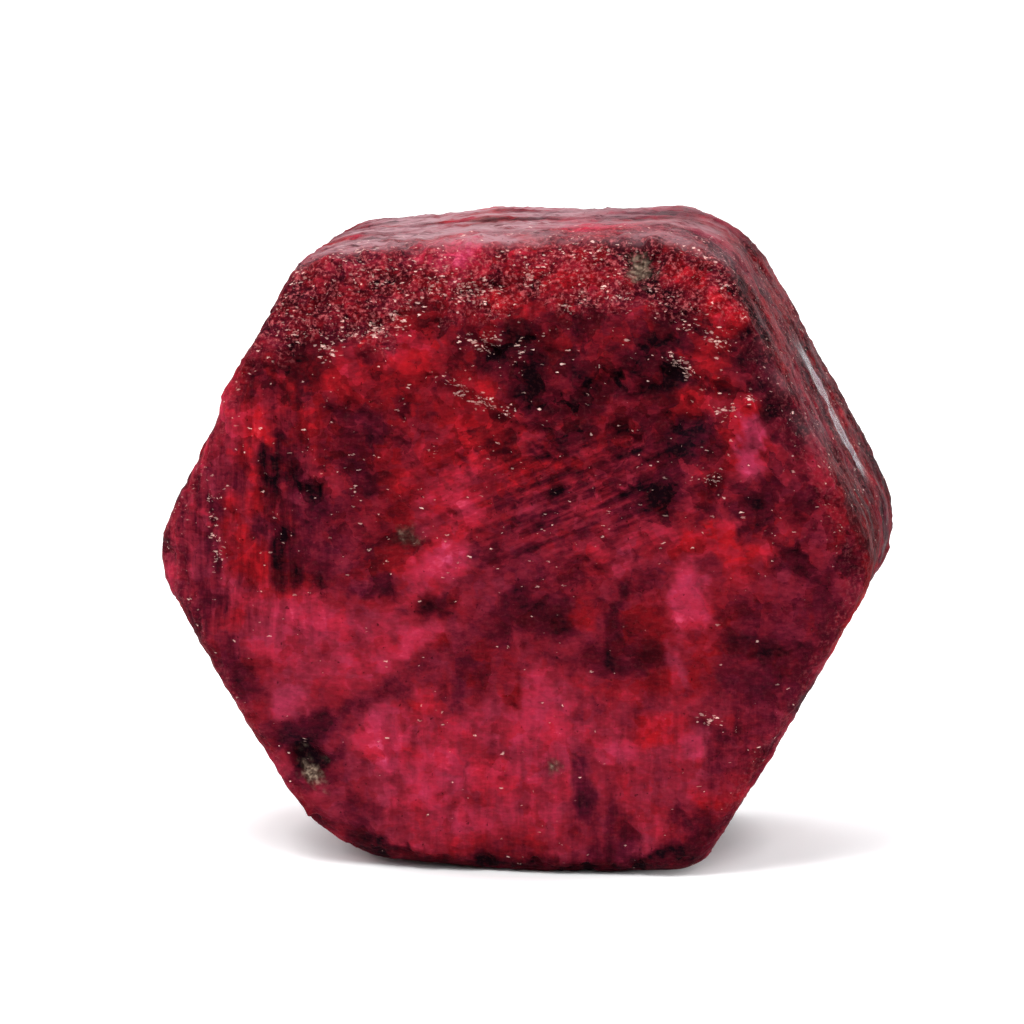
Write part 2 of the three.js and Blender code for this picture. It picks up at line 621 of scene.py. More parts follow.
    def hollow_height(self, rest: np.ndarray) -> np.ndarray:
        """Adds the hollows: each is a flat-bottomed bell, exp(-(distance / radius)^4), with an uneven rim.

        Args:
            rest: Places from the middle of the resting face.

        Returns:
            The hollows' height, at most 0.
        """
        total = np.zeros(len(rest))
        wobble = 1.0 + 0.35 * self.noise.smooth(rest, 1.1, 2)
        for hollow in self.hollows:
            away = np.linalg.norm(rest[:, (0, 2)] - np.array(hollow.place), axis=1) * wobble
            total -= hollow.depth * np.exp(-((away / hollow.radius) ** 4))
        return total

    def pitting(self, points: np.ndarray) -> np.ndarray:
        """Small scattered pits, sunk where one of the chosen seeds is within 0.6 mm.

        Args:
            points: Places from the crystal's centre.

        Returns:
            The pits' height, at most 0.
        """
        way, number = self.noise.cells(points, self.pit_spacing)
        chosen = self.noise.offsets[number, 0] > 0.55
        return -self.pit_depth * chosen * smooth_step(0.62, 0.1, np.linalg.norm(way, axis=1))

    def chips(self, points: np.ndarray, rest: np.ndarray, front: np.ndarray,
              gloss: np.ndarray) -> np.ndarray:
        """Flat chips between broken edges: each cell is a plane through its seed that leans its own way.

        Args:
            points: Places from the crystal's centre.
            rest: The same places from the middle of the resting face.
            front: 1 on the front end.
            gloss: 1 where the surface is a clean smooth growth face.

        Returns:
            The chips' height, most in the upper front.
        """
        bent = points + 0.5 * self.noise.shifts(points, 1.6, 2, (3, 41, 83))
        upper = smooth_step(20.0, 36.0, rest[:, 2])
        total = np.zeros(len(points))
        for size, slope in self.chip_layers:
            way, number = self.noise.cells(bent, size)
            total += slope * np.sum(way * self.noise.directions[number], axis=1)
        return total * (0.25 + front * (0.25 + 0.5 * upper)) * (1.0 - 0.8 * gloss)


# ---- Colour zones ----


class Shade(Enum):
    """The crystal's colours as (tone, hue): tone 0 is nearly black, tone 1 bright, hue 0 red, hue 1 pink."""

    NIGHT = (0.10, 0.25)
    DUSK = (0.17, 0.80)
    WINE = (0.29, 0.45)
    MAROON = (0.34, 0.10)
    RED = (0.50, 0.00)
    BRIGHT_RED = (0.61, 0.00)
    ROSE = (0.52, 0.50)
    PINK = (0.62, 0.65)
    BRIGHT_PINK = (0.70, 0.70)
    MAGENTA = (0.60, 1.00)


@dataclass(frozen=True)
class Patch:
    """An oval of one shade on the front end: its middle, half its sizes and its turn in degrees."""

    x: float
    z: float
    width: float
    height: float
    turn: float
    shade: Shade
    strength: float = 0.85


@dataclass(frozen=True)
class Vein:
    """A dark seam along a bent line on the front end."""

    places: tuple[tuple[float, float], ...]
    half_width: float
    shade: Shade


@dataclass(frozen=True)
class Sparkle:
    """A line of bare facets that catch the light, from one place on the front end to another."""

    start: tuple[float, float]
    stop: tuple[float, float]
    spread: float = 0.45


def line_distance(rest: np.ndarray, start: tuple[float, float], stop: tuple[float, float]) -> np.ndarray:
    """The distance across the front end from each point to the nearest place on a straight line.

    Args:
        rest: Places from the middle of the resting face.
        start: The line's first end, as x and z.
        stop: Its other end.

    Returns:
        One distance in millimetres for each point.
    """
    along = np.subtract(stop, start)
    offset = rest[:, (0, 2)] - np.array(start)
    share = np.clip(offset @ along / (along @ along), 0.0, 1.0)
    return np.linalg.norm(offset - share[:, None] * along, axis=1)


@dataclass(frozen=True)
class ColourZones:
    """Where the crystal is red, pink or dark, and where it sparkles, is glossy or is stained by rock."""

    noise: SolidNoise
    outer_edge: float = 1.35  # a patch ends here, as a share of its half sizes
    soft_edge: float = 0.65  # and is full from here inwards
    crisp_edge: float = 0.75
    grounds_of_front: tuple[Patch, ...] = (
        Patch(-12, 48, 10, 4, 0, Shade.MAROON),
        Patch(0, 49, 8, 3, 0, Shade.RED, 0.7),
        Patch(13, 50, 7, 3, 0, Shade.MAROON),
        # painted light: a paler band along the lit top edge, left of the middle
        Patch(-10, 51.5, 9, 1.8, 0, Shade.ROSE, 0.7),
        Patch(8, 52.5, 10, 1.5, 0, Shade.MAROON, 0.7),
        Patch(-15, 39, 7, 6, 0, Shade.MAROON),
        Patch(-4, 41, 6, 6, 0, Shade.RED),
        Patch(9, 41, 12, 6, 0, Shade.MAROON),
        Patch(-16, 30, 6, 5, 0, Shade.WINE),
        Patch(-3, 32, 8, 5, 20, Shade.RED, 0.7),
        Patch(8, 32, 9, 4, 22, Shade.WINE),
        Patch(23, 36, 4, 8, 0, Shade.WINE, 0.8),
        Patch(-25, 30, 3, 9, 0, Shade.ROSE, 0.6),
        Patch(-16, 19, 8, 5, 0, Shade.ROSE),
        Patch(-24, 18, 2.5, 6, 30, Shade.WINE),
        Patch(-5, 9, 10, 7, 0, Shade.ROSE),
        Patch(3, 22, 8, 5, 0, Shade.WINE),
        Patch(16, 24, 7, 6, 0, Shade.RED, 0.6),
        Patch(25, 23, 5, 7, -20, Shade.WINE),
        Patch(10, 10, 8, 6, 0, Shade.ROSE),
        Patch(19, 13, 4, 6, -20, Shade.WINE),
    )
    patches: tuple[Patch, ...] = (
        # upper left: red windows between dark seams
        Patch(-5, 51, 1.5, 1.5, 0, Shade.BRIGHT_PINK),
        Patch(-1, 46.5, 3, 1.6, 10, Shade.BRIGHT_RED, 1.0),
        Patch(-7.5, 42.5, 2, 2, 0, Shade.BRIGHT_RED, 1.0),
        Patch(-11, 40, 2.5, 1.5, 20, Shade.RED, 1.0),
        Patch(-14, 41, 2.5, 1.5, 0, Shade.BRIGHT_RED),
        Patch(-18.5, 40, 1.5, 1.5, 0, Shade.RED),
        Patch(-21, 35, 1, 5, 0, Shade.BRIGHT_RED),
        Patch(-4, 38, 2.2, 2.5, 0, Shade.BRIGHT_RED, 1.0),
        Patch(-12.5, 37, 2, 1.5, 0, Shade.WINE),
        Patch(-19, 33, 1.5, 3, 0, Shade.NIGHT),
        Patch(-17, 30.5, 1.5, 2.5, 0, Shade.DUSK),
        Patch(-13, 33, 2, 1.5, 20, Shade.WINE),
        Patch(-5, 30, 2.5, 2, 30, Shade.ROSE),
        Patch(-23, 29, 1.2, 2.5, 0, Shade.BRIGHT_RED),
        # upper right: a dark hollow, red windows and one magenta one
        Patch(0.5, 43, 3, 3, 0, Shade.NIGHT),
        Patch(5.5, 40.5, 4, 2.2, 0, Shade.NIGHT, 0.7),
        Patch(2.5, 39.5, 2, 1.5, 0, Shade.NIGHT),
        Patch(8, 43, 4, 1.5, -15, Shade.MAROON),
        Patch(12.5, 45, 1.5, 3.5, 0, Shade.NIGHT),
        Patch(11.5, 42, 3, 1.5, 0, Shade.NIGHT),
        Patch(14.5, 50, 1.5, 1, 0, Shade.BRIGHT_RED),
        Patch(17, 47, 1.5, 1.5, 0, Shade.BRIGHT_RED),
        Patch(15.5, 43.5, 2, 1.5, 0, Shade.RED),
        Patch(17, 40, 3, 1.5, 0, Shade.BRIGHT_RED),
        Patch(20, 36.5, 1.2, 2.5, 0, Shade.MAGENTA, 1.0),
        Patch(18.5, 36.5, 0.8, 2.5, 0, Shade.RED),
        Patch(15, 37, 2, 1, 0, Shade.DUSK),
        Patch(13, 31.5, 2.2, 1.3, 15, Shade.NIGHT),
        Patch(4, 36.5, 3, 1, 22, Shade.NIGHT),
        Patch(10, 35, 3, 1, 22, Shade.WINE),
        Patch(20, 31, 2, 1, 0, Shade.NIGHT),
        Patch(22, 43, 1.5, 4, 20, Shade.WINE),
        # lower left: pink clouds
        Patch(-22, 26.5, 1.2, 2.5, 0, Shade.BRIGHT_RED),
        Patch(-19, 26, 1.2, 2.5, 0, Shade.NIGHT),
        Patch(-11, 24, 2.5, 1, 0, Shade.DUSK),
        Patch(-5.5, 26, 2, 1.5, 20, Shade.BRIGHT_PINK),
        Patch(-6, 22.5, 1.8, 1.2, 0, Shade.NIGHT),
        Patch(-9.5, 21.5, 1.5, 1, 0, Shade.ROSE),
        Patch(-17, 20, 4, 2, 10, Shade.PINK),
        Patch(-8, 19, 2, 1, 40, Shade.BRIGHT_PINK),
        Patch(-12, 17.5, 2, 1, 0, Shade.PINK),
        Patch(-18.5, 14, 1.8, 1.3, 30, Shade.MAGENTA, 1.0),
        Patch(-16, 11, 3, 2, 0, Shade.DUSK),
        Patch(-10.5, 11.5, 2, 2.5, 0, Shade.BRIGHT_PINK),
        Patch(-6, 8.5, 3, 2, 0, Shade.PINK),
        Patch(-1.5, 12.5, 3, 2, 0, Shade.PINK),
        Patch(-3, 4.5, 2.5, 1, 0, Shade.PINK),
        Patch(-12, 5, 1.5, 0.8, 0, Shade.WINE),
        # lower right: red and pink columns between dark ones
        Patch(2, 22, 3, 2, 0, Shade.NIGHT),
        Patch(6, 22, 1.2, 1.5, 0, Shade.RED),
        Patch(9, 20.5, 0.8, 4, 0, Shade.NIGHT),
        Patch(17.5, 28, 4, 1.3, 0, Shade.BRIGHT_RED),
        Patch(14.5, 23, 1.7, 3.5, 0, Shade.BRIGHT_PINK),
        Patch(13.5, 17.5, 1, 1.5, 0, Shade.PINK),
        Patch(20.5, 19.5, 3, 1, 0, Shade.NIGHT, 0.7),
        Patch(23, 27, 1.5, 2, 0, Shade.WINE),
        Patch(3, 14.5, 1.5, 3, 0, Shade.PINK),
        Patch(3, 7, 1.5, 3, 0, Shade.ROSE),
        Patch(6, 8, 0.8, 3, 0, Shade.DUSK),
        Patch(8.5, 11, 1.5, 1.2, 0, Shade.PINK),
        Patch(12.5, 12.5, 2, 1.5, 0, Shade.BRIGHT_RED),
        Patch(15.5, 11.5, 1.3, 1.3, 0, Shade.MAGENTA),
        Patch(16.5, 7.5, 1.5, 1, 0, Shade.RED),
        Patch(15, 5, 2, 1, 0, Shade.WINE),
        # painted shadow along the foot, where the crystal stands on the paper
        Patch(2, -0.5, 19, 1.8, 0, Shade.NIGHT, 1.0),
        Patch(-10, 0.5, 4, 1.8, -20, Shade.NIGHT, 1.0),
        Patch(13, 0.5, 4, 1.8, 15, Shade.NIGHT, 1.0),
        # dark in the two deepest hollows
        Patch(-17, 9.5, 1.5, 1.5, 0, Shade.NIGHT),
        Patch(11, 50, 1.6, 1.2, 0, Shade.NIGHT),
    )
    veins: tuple[Vein, ...] = (
        Vein(((-5, 18.5), (-7, 16.5), (-11.5, 14), (-16, 10.5)), 0.8, Shade.WINE),
        Vein(((-5, 22), (-4, 16), (-5, 14)), 0.5, Shade.WINE),
    )
    sparkles: tuple[Sparkle, ...] = (
        Sparkle((-5.5, 41), (-1, 39), 0.5),
        Sparkle((-1, 39), (1, 38), 0.4),
        Sparkle((-9, 46), (-15.5, 43.5), 0.6),
        Sparkle((-3, 45), (0, 43.5), 0.9),
        Sparkle((-4, 48.5), (1, 49.5), 0.5),
        Sparkle((13, 43.5), (15.5, 42), 0.4),
        Sparkle((14.5, 46), (17.5, 44.5), 0.4),
        Sparkle((18.5, 40.5), (20, 40), 0.4),
        Sparkle((17, 39), (19, 39), 0.4),
        Sparkle((15.5, 33), (18.5, 34), 0.4),
        Sparkle((16, 13.5), (18.5, 12.5), 0.5),
        Sparkle((-24.5, 31), (-24.5, 26), 0.5),
    )
    rock_spots: tuple[tuple[float, float, float, float], ...] = (
        (-16.5, 8, 0.9, 0.95),
        (10.5, 50.5, 0.9, 0.9),
        (-8.5, 28, 0.8, 0.4),
        (3.5, 9, 0.4, 0.8),
    )

    def grounds(self, points: np.ndarray) -> tuple[np.ndarray, np.ndarray]:
        """Tone and hue all round the crystal, from warped noise: clouds of dark, red and pink.

        Args:
            points: Places from the crystal's centre.

        Returns:
            The tone and the hue of each point.
        """
        warped = points + 3.0 * self.noise.shifts(points, 9.0, 1, (0, 31, 57))
        tone = 0.38 + 0.30 * self.noise.smooth(warped, 7.0, 3)
        hue = 0.35 + 0.60 * self.noise.smooth(warped + 90.0, 9.0, 2)
        return tone, hue

    def lay(self, cover: np.ndarray, shade: Shade, tone: np.ndarray, hue: np.ndarray) -> None:
        """Blends a shade into tone and hue, in place, by the share `cover`."""
        tone += cover * (shade.value[0] - tone)
        hue += cover * (shade.value[1] - hue)

    def tone_and_hue(self, points: np.ndarray, rest: np.ndarray,
                     normals: np.ndarray) -> tuple[np.ndarray, np.ndarray]:
        """Lays the patches and veins of the front end over the grounds, each with an uneven edge.

        Args:
            points: Places from the crystal's centre.
            rest: The same places from the middle of the resting face.
            normals: The smooth form's normals.

        Returns:
            The tone and the hue of each point.
        """
        tone, hue = self.grounds(points)
        brown = smooth_step(0.5, 0.8, normals[:, 0]) * smooth_step(22.0, 30.0, rest[:, 2])
        tone, hue = tone - 0.12 * brown, hue - 0.3 * brown
        front = smooth_step(0.1, 0.6, -normals[:, 1])
        way, number = self.noise.cells(points + 0.4 * self.noise.smooth(points, 1.5, 2)[:, None], 2.0)
        upper = smooth_step(20.0, 36.0, rest[:, 2])
        warped = rest + (0.8 + 0.6 * upper)[:, None] * (self.noise.offsets[number] - 0.5)
        warped[:, 0] += 0.8 * self.noise.smooth(points + 11.0, 3.6, 4)
        warped[:, 2] += 0.8 * self.noise.smooth(points + 23.0, 3.6, 4)
        soft = [(patch, self.soft_edge) for patch in self.grounds_of_front]
        crisp = [(patch, self.crisp_edge) for patch in self.patches]
        for patch, inner in soft + crisp:
            angle = math.radians(patch.turn)
            dx, dz = warped[:, 0] - patch.x, warped[:, 2] - patch.z
            along = (dx * math.cos(angle) + dz * math.sin(angle)) / patch.width
            across = (dz * math.cos(angle) - dx * math.sin(angle)) / patch.height
            cover = front * patch.strength * smooth_step(self.outer_edge, inner, np.hypot(along, across))
            self.lay(cover, patch.shade, tone, hue)
        for vein in self.veins:
            spans = zip(vein.places, vein.places[1:])
            away = np.min([line_distance(warped, start, stop) for start, stop in spans], axis=0)
            cover = 0.85 * front * smooth_step(1.5, 0.6, away / vein.half_width)
            self.lay(cover, vein.shade, tone, hue)
        return tone, hue

    def sandy(self, rest: np.ndarray, normals: np.ndarray, points: np.ndarray) -> np.ndarray:
        """Where the skin is sandy and sparkling.

        Args:
            rest: Places from the middle of the resting face.
            normals: The smooth form's normals.
            points: The places from the crystal's centre.

        Returns:
            1 in a band under the top edge and a little over it, less on the worn rims and the upper right
            face, and 0 elsewhere.
        """
        x, z = rest[:, 0], rest[:, 2]
        front = smooth_step(0.15, 0.5, -normals[:, 1])
        over = smooth_step(0.4, 0.7, normals[:, 2]) * smooth_step(2.0, -10.0, rest[:, 1])
        front = np.maximum(front, 0.8 * over)
        edge = 47.0 - 4.0 * smooth_step(-6.0, -16.0, x) + 2.2 * self.noise.smooth(points, 4.0, 2)
        top = smooth_step(-1.2, 1.2, z - edge)
        rim = 0.2 * smooth_step(0.97, 0.85, np.abs(normals[:, 1])) * smooth_step(2.0, 8.0, z)
        shoulder = 0.45 * smooth_step(0.5, 0.8, normals[:, 0]) * smooth_step(24.0, 34.0, z)
        return np.clip(np.maximum(front * np.maximum(top, rim), shoulder), 0.0, 1.0)

    def sparkling(self, rest: np.ndarray, normals: np.ndarray, sand: np.ndarray) -> np.ndarray:
        """How many of the cells hold a bare facet that flashes, in uneven clumps.

        Args:
            rest: Places from the middle of the resting face.
            normals: The smooth form's normals.
            sand: 1 on the sandy skin.

        Returns:
            The share of cells: most in the sparkle lines, many in the sand, few elsewhere.
        """
        front = smooth_step(0.15, 0.5, -normals[:, 1])
        lines = [smooth_step(2.0, 0.5, line_distance(rest, line.start, line.stop) / line.spread)
                 for line in self.sparkles]
        upper = smooth_step(22.0, 34.0, rest[:, 2])
        clumps = smooth_step(-0.4, 0.3, self.noise.smooth(rest + 5.0, 1.8, 2))
        share = 0.015 + front * (0.015 + 0.07 * upper + 1.0 * np.max(lines, axis=0)) + 0.42 * sand
        return np.clip(share * clumps, 0.0, 1.0)

    def rocky(self, rest: np.ndarray, normals: np.ndarray) -> np.ndarray:
        """Where grains of host rock are grown in, with uneven edges.

        Args:
            rest: Places from the middle of the resting face.
            normals: The smooth form's normals.

        Returns:
            Each spot's own share within it, and 0 elsewhere.
        """
        wobble = 1.0 + 0.6 * self.noise.smooth(rest, 1.1, 3)
        spots = [share * smooth_step(1.3, 0.6, np.hypot(rest[:, 0] - x, rest[:, 2] - z) * wobble / radius)
                 for x, z, radius, share in self.rock_spots]
        return smooth_step(0.1, 0.6, -normals[:, 1]) * np.max(spots, axis=0)

    def glossy(self, rest: np.ndarray, normals: np.ndarray, points: np.ndarray) -> np.ndarray:
        """Where the skin is a clean smooth growth face.

        Args:
            rest: Places from the middle of the resting face.
            normals: The smooth form's normals.
            points: The places from the crystal's centre.

        Returns:
            1 on one streak of the upper right prism face, and a little in patches of the other faces.
        """
        side = 1.0 - smooth_step(0.2, 0.5, np.abs(normals[:, 1]))
        patches = smooth_step(0.15, 0.45, self.noise.smooth(points * (0.5, 1.4, 0.5), 5.0, 2))
        face = smooth_step(0.6, 0.85, normals[:, 0]) * smooth_step(0.2, 0.4, normals[:, 2])
        depth = rest[:, 1] + 1.0 * self.noise.smooth(points, 5.0, 2)
        streak = face * smooth_step(0.3, 2.0, depth) * smooth_step(5.0, 3.3, depth)
        length = smooth_step(30.5, 33.0, rest[:, 2]) * smooth_step(43.5, 41.0, rest[:, 2])
        return np.clip(side * 0.12 * patches + streak * length, 0.0, 1.0)

    def painted_sheen_areas(self, points: np.ndarray, normals: np.ndarray) -> np.ndarray:
        """How far a pale sheen is painted onto the skin, in streaks drawn out along X.

        Args:
            points: Places from the crystal's centre.
            normals: The smooth form's normals.

        Returns:
            Most on the left of the top face, less on its right and on the upper right face.
        """
        streaks = self.noise.smooth(points * (0.2, 0.6, 1.0), 2.4, 2)
        # the painted sheen is full on the left of the top face and half as strong on its right
        worn = 1.0 - 0.5 * smooth_step(-1.0, 6.0, points[:, 0])
        top = smooth_step(0.6, 0.97, normals[:, 2]) * worn * (0.8 + 1.3 * streaks)
        upper_right = smooth_step(0.5, 0.8, normals[:, 0]) * smooth_step(0.0, 12.0, points[:, 2])
        return np.clip(top + 0.2 * upper_right * (0.5 + streaks), 0.0, 1.0)


# ---- Finishes ----


@dataclass(frozen=True)
class Canvas:
    """A material's node tree, with the places that its patterns read in millimetres.

    So a noise's Scale is its number of waves per millimetre.
    """

    tree: Tree
    mm: Socket
    grained: Socket  # the same places, drawn out along X

    def swing(self, base: Socket, wave: Socket, strength: float | Socket, share: float | Socket = 1.0,
              clamped: bool = False) -> Socket:
        """Adds a wave to a value: base + (wave - 0.5) * share * strength.

        Args:
            base: The value that the wave is added to.
            wave: A pattern from 0 to 1.
            strength: How far the pattern swings the value.
            share: Where the pattern shows, from 0 to 1.
            clamped: Whether the result is kept from 0 to 1.

        Returns:
            The value with its wave.
        """
        centred = add_node(self.tree, "ShaderNodeMath", {0: wave, 1: -0.5}, operation="ADD").outputs[0]
        depth = add_node(self.tree, "ShaderNodeMath", {0: centred, 1: share}, operation="MULTIPLY").outputs[0]
        return add_node(self.tree, "ShaderNodeMath", {0: depth, 1: strength, 2: base},
                        operation="MULTIPLY_ADD", use_clamp=clamped).outputs[0]


@dataclass(frozen=True)
class RawCorundum:
    """Natural opaque ruby, as it grew and was worn in gravel.

    To the eye: dark red with pink and nearly black clouds that shine from a little below the skin, a skin
    of fine pits and grains with a dull shine, and many tiny flat facets that flash in the light. The real
    facets are down to a tenth of a millimetre, too fine to show, so they are drawn twice as coarse. Some
    light
    and shade is painted into the colour: glints on the facets, highlights and shade on the sand grains, a
    pale sheen on the top face and a pale reflection on the glossy streak.
    """

    name: str = "raw_corundum"
    reds: tuple = ((0.0, "100206"), (0.25, "480810"), (0.5, "7e1018"), (0.75, "b41822"), (1.0, "dc3c48"))
    pinks: tuple = ((0.0, "140810"), (0.25, "541024"), (0.5, "84263a"), (0.75, "b03050"), (1.0, "d85880"))
    rock_colours: tuple = ((0.35, "2c2018"), (0.5, "5c4a40"), (0.68, "a08c78"))
    painted_glint_colour: str = "fcc8bc"
    painted_grain_highlight_colour: str = "d4686c"
    painted_sheen_colour: str = "a47078"
    pit_colour: str = "180408"
    painted_reflection_colour: str = "967e8c"
    index_of_refraction: float = 1.77
    specular_level: float = 0.006  # the pits swallow nearly all of the body's own mirror light
    dull_roughness: float = 0.48
    clean_roughness: float = 0.16
    coat_roughness: float = 0.15
    sheen_coat_weight: float = 0.45
    grain_relief: float = 0.25
    facet_size: float = 0.22
    crowding: float = 0.18
    grain_layers: tuple = ((2.2, 0.22), (0.8, 0.14))  # each layer's grain size and its swing of the tone

    def material(self) -> bpy.types.Material:
        """Builds the material from the crystal's attributes and patterns on Object coordinates.

        Returns:
            The finished material.
        """
        material = bpy.data.materials.new(self.name)
        material.use_nodes = True
        tree = material.node_tree
        tree.nodes.clear()
        place = add_node(tree, "ShaderNodeTexCoord").outputs["Object"]
        mm = add_node(tree, "ShaderNodeVectorMath", {0: place, "Scale": 1 / MM}, operation="SCALE").outputs[0]
        grained = add_node(tree, "ShaderNodeMapping", {"Vector": mm, "Scale": (0.45, 1.0, 1.0)}).outputs[0]
        canvas = Canvas(tree, mm, grained)
        (tone, hue, sparkle), (sand, gloss, rock), (upright, slanting, painted_sheen) = (
            add_node(tree, "ShaderNodeSeparateXYZ", {
                0: add_node(tree, "ShaderNodeAttribute", attribute_name=name).outputs["Vector"]}).outputs
            for name in ("zones", "skin", "lines"))

        tone = self.growth_lines(canvas, tone, upright, slanting)
        tone, hue = self.grains(canvas, tone, hue)
        colour = self.clouds(canvas, tone, hue, sand)
        # painted highlights and shade on the grains, as pale and dark specks
        colour = self.grit(canvas, colour, sand)
        # painted sheen: a pale grey-pink laid over the top face and the upper right face, in streaks
        painted_sheen_share = self.sheen_streaks(canvas, painted_sheen)
        colour = add_node(tree, "ShaderNodeMixRGB",
                          {0: painted_sheen_share, 1: colour, 2: linear(self.painted_sheen_colour)}).outputs[0]
        colour = self.pits(canvas, colour)
        # painted reflection: the glossy streak on the upper right face is paled
        colour = self.painted_reflection_streak(canvas, colour, gloss)
        # painted glints on the facets, which also lean the coat's normal
        colour, flash, lean = self.facets(canvas, colour, sparkle)
        colour = self.host_rock(canvas, colour, rock)

        # dull skin, polished streaks, and facets that each lean their own way
        rough = add_node(tree, "ShaderNodeMapRange",
                         {0: gloss, 3: self.dull_roughness, 4: self.clean_roughness}).outputs[0]
        fine = add_node(tree, "ShaderNodeTexNoise", {"Vector": grained, "Scale": 2.6, "Detail": 6,
                                                     "Roughness": 0.65}).outputs["Fac"]
        skin = add_node(tree, "ShaderNodeBump", {"Height": fine, "Distance": self.grain_relief * MM,
                                                 "Strength": 0.8}).outputs[0]
        leaning = add_node(tree, "ShaderNodeVectorMath", {0: skin, 1: lean}, operation="ADD").outputs[0]
        facing = add_node(tree, "ShaderNodeVectorMath", {0: leaning}, operation="NORMALIZE").outputs[0]
        shine = add_node(tree, "ShaderNodeMath", {0: flash, 1: gloss}, operation="MAXIMUM").outputs[0]
        polish = add_node(tree, "ShaderNodeMath", {0: painted_sheen_share, 1: self.sheen_coat_weight},
                          operation="MULTIPLY").outputs[0]
        shine = add_node(tree, "ShaderNodeMath", {0: shine, 1: polish}, operation="MAXIMUM").outputs[0]
        shader = add_node(tree, "ShaderNodeBsdfPrincipled", {
            "Base Color": colour, "Roughness": rough, "Normal": skin,
            "IOR": self.index_of_refraction, "Specular IOR Level": self.specular_level,
            "Coat Weight": shine, "Coat Roughness": self.coat_roughness,
            "Coat IOR": self.index_of_refraction, "Coat Normal": facing,
            "Subsurface Weight": 0.08, "Subsurface Radius": (1.0, 0.25, 0.3), "Subsurface Scale": 0.6 * MM})
        add_node(tree, "ShaderNodeOutputMaterial", {"Surface": shader.outputs[0]})
        return material

    def growth_lines(self, canvas: Canvas, tone: Socket, upright: Socket, slanting: Socket) -> Socket:
        """Draws lighter and darker lines 0.6 mm apart along the growth directions of the front end.

        Args:
            canvas: The node tree and its places.
            tone: The zones' tone.
            upright: 1 where the lines stand upright.
            slanting: 1 where the lines climb to the right.

        Returns:
            The tone with its lines.
        """
        for share, slope, strength in ((upright, 90.0, 0.8), (slanting, LINE_SLOPE, 1.3)):
            turned = add_node(canvas.tree, "ShaderNodeMapping", {
                "Vector": canvas.mm, "Rotation": (0.0, math.radians(slope), 0.0)}).outputs[0]
            drawn_out = add_node(canvas.tree, "ShaderNodeMapping", {
                "Vector": turned, "Scale": (0.12, 0.5, 1.0)}).outputs[0]
            wave = add_node(canvas.tree, "ShaderNodeTexNoise", {
                "Vector": drawn_out, "Scale": 1.6, "Detail": 3, "Roughness": 0.6}).outputs["Fac"]
            tone = canvas.swing(tone, wave, strength, share)
        return tone

    def grains(self, canvas: Canvas, tone: Socket, hue: Socket) -> tuple[Socket, Socket]:
        """Gives each angular grain a tone and a hue of its own, less so towards the foot.

        Args:
            canvas: The node tree and its places.
            tone: The tone so far.
            hue: The hue so far.

        Returns:
            The tone and the hue with the grains.
        """
        tree = canvas.tree
        ragged = add_node(tree, "ShaderNodeTexNoise", {"Vector": canvas.mm, "Scale": 1.1,
                                                       "Detail": 4}).outputs["Color"]
        bent = add_node(tree, "ShaderNodeVectorMath", {0: ragged, 1: (1.1, 1.1, 1.1), 2: canvas.mm},
                        operation="MULTIPLY_ADD").outputs[0]
        height = add_node(tree, "ShaderNodeSeparateXYZ", {0: canvas.mm}).outputs["Z"]
        calm = add_node(tree, "ShaderNodeMapRange", {0: height, 1: 18.0, 2: 36.0, 3: 0.4}).outputs[0]
        for size, strength in self.grain_layers:
            grain = add_node(tree, "ShaderNodeTexVoronoi", {"Vector": bent, "Scale": 1 / size})
            light, tint, _ = add_node(tree, "ShaderNodeSeparateColor", {0: grain.outputs["Color"]}).outputs
            tone = canvas.swing(tone, light, strength, calm)
            hue = canvas.swing(hue, tint, 0.3)
        return tone, hue

    def clouds(self, canvas: Canvas, tone: Socket, hue: Socket, sand: Socket) -> Socket:
        """Mottles the zones at 2.5, 0.8 and 0.3 mm, the finest more in the sand, and colours them.

        Args:
            canvas: The node tree and its places.
            tone: The zones' tone.
            hue: The zones' hue.
            sand: 1 on the sandy skin.

        Returns:
            The body's colour.
        """
        tree = canvas.tree
        gritty = add_node(tree, "ShaderNodeMapRange", {0: sand, 3: 0.36}).outputs[0]
        for size, strength, where in ((2.5, 0.18, canvas.mm), (0.8, 0.27, canvas.grained),
                                      (0.3, gritty, canvas.grained)):
            mottle = add_node(tree, "ShaderNodeTexNoise", {"Vector": where, "Scale": 1 / size, "Detail": 4,
                                                           "Roughness": 0.6}).outputs["Fac"]
            tone = canvas.swing(tone, mottle, strength)
        drift = add_node(tree, "ShaderNodeTexNoise", {"Vector": canvas.mm, "Scale": 0.35,
                                                      "Detail": 4}).outputs["Fac"]
        hue = canvas.swing(hue, drift, 0.6, clamped=True)
        red = add_node(tree, "ShaderNodeValToRGB", {0: tone}, self.reds).outputs[0]
        pink = add_node(tree, "ShaderNodeValToRGB", {0: tone}, self.pinks).outputs[0]
        return add_node(tree, "ShaderNodeMixRGB", {0: hue, 1: red, 2: pink}).outputs[0]

    def grit(self, canvas: Canvas, colour: Socket, sand: Socket) -> Socket:
        """Paints pale highlights and dark shade on grains of a third of a millimetre, most in the sand.

        Args:
            canvas: The node tree and its places.
            colour: The body's colour.
            sand: 1 on the sandy skin.

        Returns:
            The colour with its painted grain highlights and shade.
        """
        tree = canvas.tree
        grain_light_and_shade = add_node(tree, "ShaderNodeTexNoise", {"Vector": canvas.mm, "Scale": 3.0, "Detail": 3,
                                                       "Roughness": 0.7}).outputs["Fac"]
        much = add_node(tree, "ShaderNodeMapRange", {0: sand, 3: 0.05}).outputs[0]
